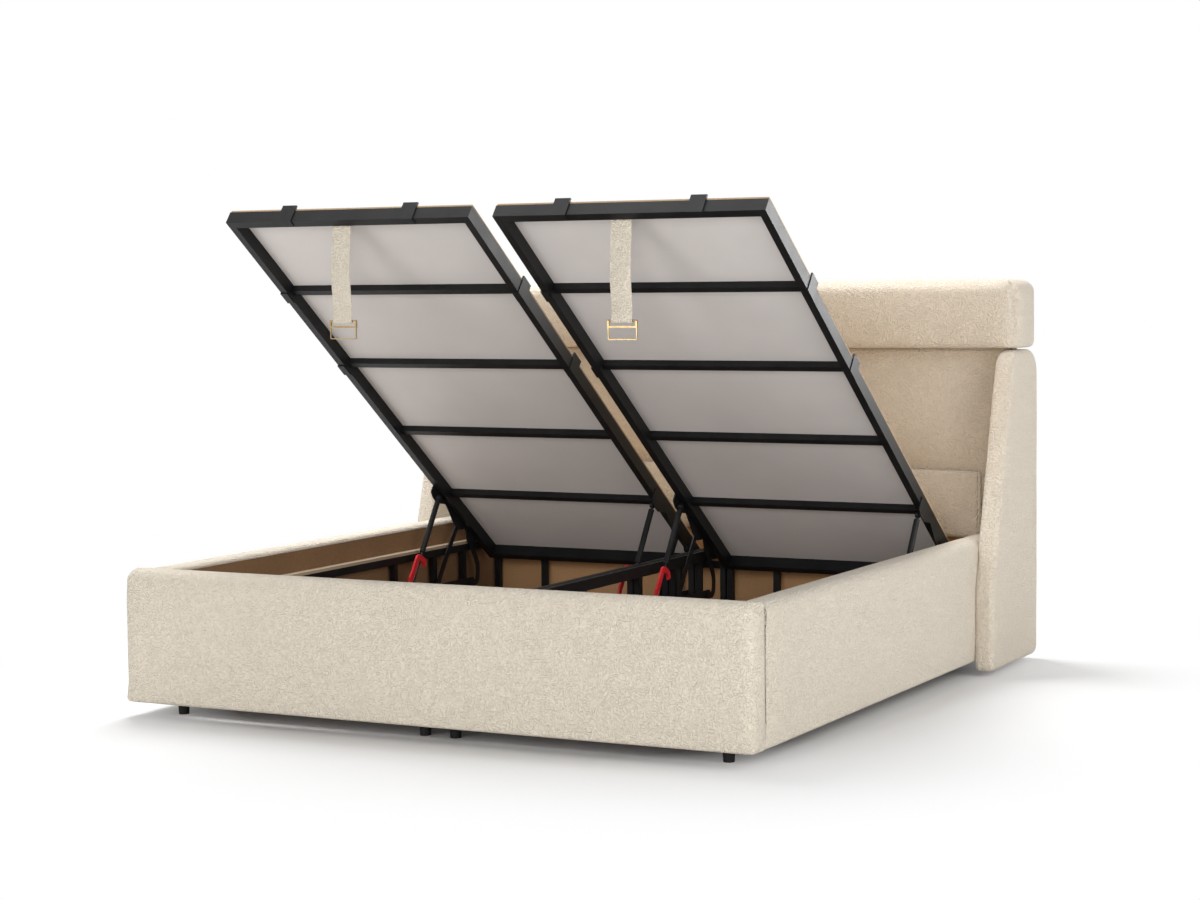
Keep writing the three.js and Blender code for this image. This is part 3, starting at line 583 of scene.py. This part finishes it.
def end_radii(ring, depth, low, high, front, top):
    """How round a cover's end is at each point of its section."""
    d, z = ring[:, 0], ring[:, 1]
    heights = (low + COVER_FOOT, low + COVER_FRONT_LOW, high - COVER_FRONT_HIGH, high - COVER_OUTER)
    upright = np.interp(z, heights, (COVER_FOOT, front, front, top))
    level = np.interp(d, (COVER_OUTER, depth - COVER_INNER), (top, COVER_SEAM))
    bottom = np.interp(d, (COVER_FOOT, depth - COVER_FOOT), (COVER_FOOT, COVER_SEAM))
    over = z > high - COVER_OUTER
    under = z < low + COVER_FOOT
    radii = np.where(d > depth - COVER_INNER, COVER_SEAM, upright)
    radii = np.where(under, bottom, radii)
    return np.where(over & (d > 0.5 * COVER_OUTER), level, radii)


def base_cover(node, across, depth, start, end, shelf_start, shelf_end, corner, tuck, place):
    """A padded cover: its section swept from start to end, rounded at both ends, and set back
    behind the inner board. corner gives the front and top radii of an end, tuck is how far the
    ends are drawn in, and place turns (along, depth, height) into a point."""
    low, high = across
    ring = cover_ring(depth, low, high)
    out = -across_of(ring_ahead(ring))
    count = len(ring)
    radii = end_radii(ring, depth, low, high, *corner)
    reach = radii.max()
    steps = max(2, round((end - start - 2 * reach) / COVER_STEP))
    inner = list(np.linspace(start + reach, end - reach, steps + 1))
    for edge in (shelf_start, shelf_end):
        inner += [edge - SHELF_STEP, edge + SHELF_STEP]
    turns = [QUARTER * k / TURN_STEPS for k in range(1, TURN_STEPS + 1)]
    rows = []
    for turn in reversed(turns):
        rows.append((start + radii * (1 - math.sin(turn)), radii * (1 - math.cos(turn))))
    for along in sorted(inner):
        rows.append((np.full(count, along), np.zeros(count)))
    for turn in turns:
        rows.append((end - radii * (1 - math.sin(turn)), radii * (1 - math.cos(turn))))
    swell_low = np.clip((ring[:, 1] - low) / COVER_SWELL_LOW, 0, 1)
    swell_high = np.clip((high - ring[:, 1]) / COVER_SWELL_HIGH, 0, 1)
    swollen = (swell_low * swell_high) ** 0.5 * (ring[:, 0] < 0.5 * depth)
    spots = []
    for along, inset in rows:
        flat = ring - out * inset[:, None]
        ease = np.clip(np.minimum(along - start, end - along) / COVER_FADE, 0, 1)
        flat[:, 0] -= (COVER_SWELL + tuck) * swollen * (1 - (1 - ease) ** 2) - tuck * swollen
        behind = (along > shelf_start) & (along < shelf_end) & (ring[:, 1] < SHELF)
        flat[:, 0] = np.where(behind, np.minimum(flat[:, 0], depth - SHELF_DEPTH), flat[:, 0])
        spots.append(np.column_stack([along, flat]))
    for outward, last in ((-1, spots[0]), (1, spots[-1])):
        level = np.clip(last[:, 2], low + depth / 2, high - depth / 2)
        middle = np.column_stack([last[:, 0], np.full(count, depth / 2), level])
        for share in CAP_SHARES:
            cap = last + (middle - last) * share
            cap[:, 0] += outward * COVER_SWELL * 0.5 * math.sin(QUARTER * share)
            if outward < 0:
                spots.insert(0, cap)
            else:
                spots.append(cap)
    points = np.array([place(*spot) for spot in np.concatenate(spots)])
    away = np.sign(points - points.mean(axis=0))
    points += ripple(points)[:, None] * away * COVER_RIPPLE_SHARE
    piece = soft_piece(node, points, tube_faces(len(spots), count))


def footboard():
    node = "footboard_cover"
    low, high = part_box(node)
    board_low, board_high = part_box("footboard_board")
    front = low[1]
    base_cover(
        node, (low[2], high[2]), high[1] - low[1], low[0], high[0], board_low[0] - SHELF_STEP,
        board_high[0] + SHELF_STEP, (COVER_FRONT, COVER_OUTER), 0.0,
        lambda along, depth, up: (along, front + depth, up),
    )


def side_rail(hand):
    node = "side_rail_cover_" + hand
    low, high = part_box(node)
    board_low, board_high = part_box("side_rail_board_" + hand)
    outer, inward = (low[0], 1) if hand == LEFT else (high[0], -1)
    base_cover(
        node, (low[2], high[2]), high[0] - low[0], low[1], high[1], board_low[1] - SHELF_STEP,
        board_high[1] + SHELF_STEP, (COVER_TURN, COVER_TURN), COVER_TUCK,
        lambda along, depth, up: (outer + inward * depth, along, up),
    )


def back_cover():
    node = "headboard_back_cover"
    low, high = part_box(node)
    points, quads = soft_block(low, high, BACK_EDGE, BACK_TOP_EDGE, 0.0)
    piece = soft_piece(node, points, quads, PAINTED_WARM_LIGHT_BOUCLE)


def rounded_outline(corners):
    """Points around a convex outline given as (a, b, radius), corners drawn as arcs."""
    places = []
    count = len(corners)
    for index, (a, b, radius) in enumerate(corners):
        here = np.array((a, b))
        before = np.array(corners[index - 1][:2]) - here
        after = np.array(corners[(index + 1) % count][:2]) - here
        before, after = before / np.linalg.norm(before), after / np.linalg.norm(after)
        half = math.acos(np.clip(before @ after, -1, 1)) / 2
        reach = radius / math.tan(half)
        middle = here + (before + after) / np.linalg.norm(before + after) * radius / math.sin(half)
        start, end = here + before * reach - middle, here + after * reach - middle
        turn = math.pi - 2 * half
        for k in range(CORNER_STEPS + 1):
            t = k / CORNER_STEPS
            point = (start * math.sin((1 - t) * turn) + end * math.sin(t * turn)) / math.sin(turn)
            places.append(middle + point)
    dense = []
    for index, here in enumerate(places):
        after = places[(index + 1) % len(places)]
        pieces = max(1, int(np.linalg.norm(after - here) / OUTLINE_STEP))
        dense += [here + (after - here) * k / pieces for k in range(pieces)]
    return np.array(dense)


def soft_panel(outline, near, far, edge, swell, rings):
    """A padded panel: an outline in (y, z), rounded into two faces that look along X."""
    inward = across_of(ring_ahead(outline))
    centre = outline.mean(axis=0)
    if ((centre - outline) * inward).sum() < 0:
        inward = -inward
    middle, half = (near + far) / 2, abs(far - near) / 2
    rows = []
    for k in range(TURN_STEPS * 2 + 1):
        angle = QUARTER * k / (TURN_STEPS * 2)
        flat = outline + inward * edge * (1 - math.cos(angle))
        rows.append((flat, half - edge + edge * math.sin(angle)))
    rim = rows[-1][0]
    for k in range(1, rings):
        share = k / rings
        crown = swell * math.sin(QUARTER * share ** WING_CROWN_POWER)
        rows.append((rim + (centre - rim) * share, half + crown))
    count = len(outline)
    points, faces = [], []
    for side in (-1, 1):
        start = len(points)
        for flat, reach in rows:
            points += [(middle + side * reach, y, z) for y, z in flat]
        points.append((middle + side * (half + swell), *centre))
        faces += ring_faces(len(rows), count, start)
        last = start + (len(rows) - 1) * count
        faces += [(last + i, last + (i + 1) % count, len(points) - 1) for i in range(count)]
    other = len(rows) * count + 1
    faces += [(i, (i + 1) % count, other + (i + 1) % count, other + i) for i in range(count)]
    return np.array(points), faces


def wing(hand):
    node = "headboard_wing_" + hand
    low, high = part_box(node)
    outline = rounded_outline([
        (low[1], low[2], WING_FOOT_CORNER),
        (high[1], low[2], WING_BACK_CORNER),
        (high[1], high[2], WING_CORNER),
        (high[1] - WING_TOP_DEPTH, high[2], WING_CORNER),
        (low[1], WING_KNEE, WING_CORNER),
    ])
    points, faces = soft_panel(outline, low[0], high[0], WING_EDGE, WING_SWELL, WING_RINGS)
    points[:, 0] += ripple(points)
    piece = soft_piece(node, points, faces, PAINTED_WARM_LIGHT_BOUCLE)


def round_corners(points, low, high, radius):
    """Turns a block's upright corners into round ones of the given radius."""
    flat = points[:, :2]
    core = np.clip(flat, low[:2] + radius, high[:2] - radius)
    beside = flat - core
    length = np.linalg.norm(beside, axis=1)
    drawn_in = np.abs(beside).max(axis=1) / np.maximum(length, TINY)
    share = np.where(length > TINY, drawn_in, 1.0)
    points[:, :2] = core + beside * share[:, None]
    return points


def front_swell(points, crown, low, high):
    """Pushes the side that faces the foot outwards by crown(across, up)."""
    across = 2 * (points[:, 0] - low[0]) / (high[0] - low[0]) - 1
    up = (points[:, 2] - low[2]) / (high[2] - low[2])
    front = np.clip((high[1] - points[:, 1]) / (high[1] - low[1]), 0, 1)
    points[:, 1] -= front * crown(across, up)
    return points


def cushion(node, front, low_edge, top_edge, corner, crown):
    low, high = (np.array(place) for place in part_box(node))
    low[1] = front
    points, quads = soft_block(low, high, low_edge, top_edge, CUSHION_SWELL)
    points = round_corners(points, low, high, corner)
    points = front_swell(points, crown, low, high)
    piece = soft_piece(node, points, quads, PAINTED_WARM_LIGHT_BOUCLE)


def ends(across):
    """Falls from 1 to 0 towards a cushion's two ends."""
    return 1 - np.clip(np.abs(across), 0, 1) ** END_POWER


def gathers(across, up, seam, reach):
    """Small tucks that fade away from a seam at the given height."""
    near = np.exp(-((up - seam) / reach) ** 2)
    wave = np.sin(across * GATHER_TURNS + GATHER_WANDER * np.sin(across * GATHER_SLOW))
    return -GATHER_DEPTH * near * (0.5 + 0.5 * wave)


def pillow_crown(across, up):
    return PILLOW_CROWN * ends(across) * (1 - (2 * up - 1) ** 2)


def lumbar_crown(across, up):
    crown = LUMBAR_CROWN * ends(across) * (1 - (2 * up - 1) ** 2)
    return crown + gathers(across, up, LUMBAR_SEAM, LUMBAR_REACH)


def main_crown(across, up):
    rise = np.clip((up - MAIN_CROWN_START) / (1 - MAIN_CROWN_START), 0, 1)
    crown = MAIN_CROWN * ends(across) * np.sin(math.pi * rise) ** 0.5
    low_seam = gathers(across, up, MAIN_LOW_SEAM, GATHER_REACH)
    high_seam = gathers(across, up, MAIN_HIGH_SEAM, GATHER_REACH)
    return crown + low_seam + high_seam


def strap_path(top, bar):
    """The strap's middle line as (y, z, thickness): down from the foot bar, then round the
    buckle's bar."""
    path = []
    for k in range(STRAP_STEPS + 1):
        t = k / STRAP_STEPS
        fullness = min(1, t / STRAP_FULL, (1 - t) / STRAP_FULL)
        aside = STRAP_LOOP * np.clip((t - 1 + STRAP_FULL) / STRAP_FULL, 0, 1) ** 2
        y = top[0] + (bar[0] - top[0]) * t - STRAP_BOW * math.sin(math.pi * t) ** 2 - aside
        z = top[1] + (bar[1] - top[1]) * t
        path.append((y, z, STRAP_TOP + (STRAP_THICKNESS - STRAP_TOP) * fullness))
    for k in range(1, LOOP_STEPS + 1):
        angle = math.pi + math.radians(LOOP_DEGREES * k / LOOP_STEPS)
        y = bar[0] + STRAP_LOOP * math.cos(angle)
        z = bar[1] + STRAP_LOOP * math.sin(angle)
        path.append((y, z, STRAP_TOP))
    return np.array(path)


def strap(hand):
    node = "lift_strap_" + hand
    low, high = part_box(node)
    mesh = frame["nodes"][node].data
    corners = np.array([vertex.co for vertex in mesh.vertices])
    top = corners[corners[:, 2] > high[2] - STRAP_TOP_BAND].mean(axis=0)
    half = (high[0] - low[0]) / 2
    middle = (high[0] + low[0]) / 2
    path = strap_path((top[1], top[2]), (top[1], low[2] + STRAP_LOOP_OUTER))
    beside = across_of(np.gradient(path[:, :2], axis=0))
    section = []
    for quarter, (hand_side, face) in enumerate(((1, 1), (-1, 1), (-1, -1), (1, -1))):
        for k in range(STRAP_EDGE_STEPS + 1):
            angle = QUARTER * (quarter + k / STRAP_EDGE_STEPS)
            across = hand_side * (half - STRAP_EDGE) + STRAP_EDGE * math.cos(angle)
            section.append((across, face, STRAP_EDGE * math.sin(angle)))
    points = []
    for (y, z, thickness), (dy, dz) in zip(path, beside):
        for across, face, out in section:
            reach = face * (thickness / 2 - STRAP_EDGE) + out
            points.append((middle + across, y + dy * reach, z + dz * reach))
    soft_piece(node, points, tube_faces(len(path), len(section)))


def studio():
    """A plain pale floor, a white surround and soft lamps."""
    bpy.ops.mesh.primitive_plane_add(size=FLOOR_SIZE, location=(0, 0, 0))
    floor = bpy.context.object
    floor.name = "studio_floor"
    look = Look("studio_floor", FLOOR_ROUGH)
    tree = look.tree
    look.colour(look.mix(look.noise(FLOOR_TONE_SIZE), FLOOR, shade(FLOOR, FLOOR_BRIGHT)))
    glow = tree.nodes.new("ShaderNodeEmission")
    length = tree.nodes.new("ShaderNodeVectorMath")
    length.operation = "LENGTH"
    look.link(look.stretched((1 / GLOW_WIDTH, 1 / GLOW_LENGTH, 1)), length.inputs[0])
    rays = tree.nodes.new("ShaderNodeLightPath")
    around = look.ramp(length.outputs["Value"], *GLOW_TURN)
    far = look.math("MULTIPLY", around, rays.outputs["Is Camera Ray"])
    blend = tree.nodes.new("ShaderNodeMixShader")
    look.link(far, blend.inputs[0])
    look.link(look.shader.outputs[0], blend.inputs[1])
    look.link(glow.outputs[0], blend.inputs[2])
    look.link(blend.outputs[0], tree.nodes["Material Output"].inputs["Surface"])
    floor.data.materials.append(look.material)
    surround()
    for name, place, aim, size, power, lights_matt in LAMPS:
        lamp = bpy.data.lights.new(name, "AREA")
        lamp.size = size
        lamp.energy = power
        holder = bpy.data.objects.new(name, lamp)
        holder.location = place
        holder.rotation_euler = (Vector(aim) - Vector(place)).to_track_quat("-Z", "Y").to_euler()
        holder.visible_diffuse = lights_matt
        holder.visible_camera = False
        bpy.context.scene.collection.objects.link(holder)


def surround():
    """A world that looks white and lights matt surfaces gently."""
    world = bpy.data.worlds.new("studio")
    bpy.context.scene.world = world
    world.use_nodes = True
    nodes, links = world.node_tree.nodes, world.node_tree.links
    soft = nodes["Background"]
    soft.inputs["Color"].default_value = WHITE
    soft.inputs["Strength"].default_value = WORLD_LIGHT
    white = nodes.new("ShaderNodeBackground")
    white.inputs["Color"].default_value = WHITE
    white.inputs["Strength"].default_value = 1.0
    rays = nodes.new("ShaderNodeLightPath")
    seen = rays.outputs["Is Camera Ray"]
    for kind in ("Is Glossy Ray", "Is Transmission Ray"):
        either = nodes.new("ShaderNodeMath")
        either.operation = "MAXIMUM"
        links.new(seen, either.inputs[0])
        links.new(rays.outputs[kind], either.inputs[1])
        seen = either.outputs[0]
    blend = nodes.new("ShaderNodeMixShader")
    links.new(seen, blend.inputs[0])
    links.new(soft.outputs[0], blend.inputs[1])
    links.new(white.outputs[0], blend.inputs[2])
    links.new(blend.outputs[0], nodes["World Output"].inputs["Surface"])


def camera():
    turn, down, roll = CAMERA_TURN, CAMERA_DOWN, CAMERA_ROLL
    ahead = Vector((-math.sin(turn) * math.cos(down), math.cos(turn) * math.cos(down), -math.sin(down)))
    right = Vector((math.cos(turn), math.sin(turn), 0))
    up = right.cross(ahead)
    tilted = right * math.cos(roll) + up * math.sin(roll)
    upright = -right * math.sin(roll) + up * math.cos(roll)
    data = bpy.data.cameras.new("photo_camera")
    data.sensor_width = SENSOR
    data.lens = CAMERA_FOCAL / PHOTO_WIDTH * SENSOR
    holder = bpy.data.objects.new("photo_camera", data)
    holder.matrix_world = Matrix((
        (tilted.x, upright.x, -ahead.x, CAMERA_PLACE.x),
        (tilted.y, upright.y, -ahead.y, CAMERA_PLACE.y),
        (tilted.z, upright.z, -ahead.z, CAMERA_PLACE.z),
        (0, 0, 0, 1),
    ))
    bpy.context.scene.collection.objects.link(holder)
    bpy.context.scene.camera = holder


footboard()
back_cover()
for hand in (LEFT, RIGHT):
    side_rail(hand)
    wing(hand)
cushion("headboard_pillow", PILLOW_FRONT, PILLOW_LOW_EDGE, PILLOW_TOP_EDGE, PILLOW_CORNER, pillow_crown)
cushion("lumbar_cushion", LUMBAR_FRONT, LUMBAR_EDGE, LUMBAR_EDGE, LUMBAR_CORNER, lumbar_crown)
cushion("headboard_cushion", MAIN_FRONT, MAIN_LOW_EDGE, MAIN_TOP_EDGE, MAIN_CORNER, main_crown)
strap(LEFT)
strap(RIGHT)

for name, node in frame["nodes"].items():
    node.data.materials.clear()
    # The board inside the headboard takes the lining lightened as painted light
    node.data.materials.append(HEAD_LINING_PAINTED_LIGHT if name == "head_inner_board" else LOOKS[SLOTS[name]])

studio()
camera()
bpy.context.scene.view_settings.view_transform = "Standard"
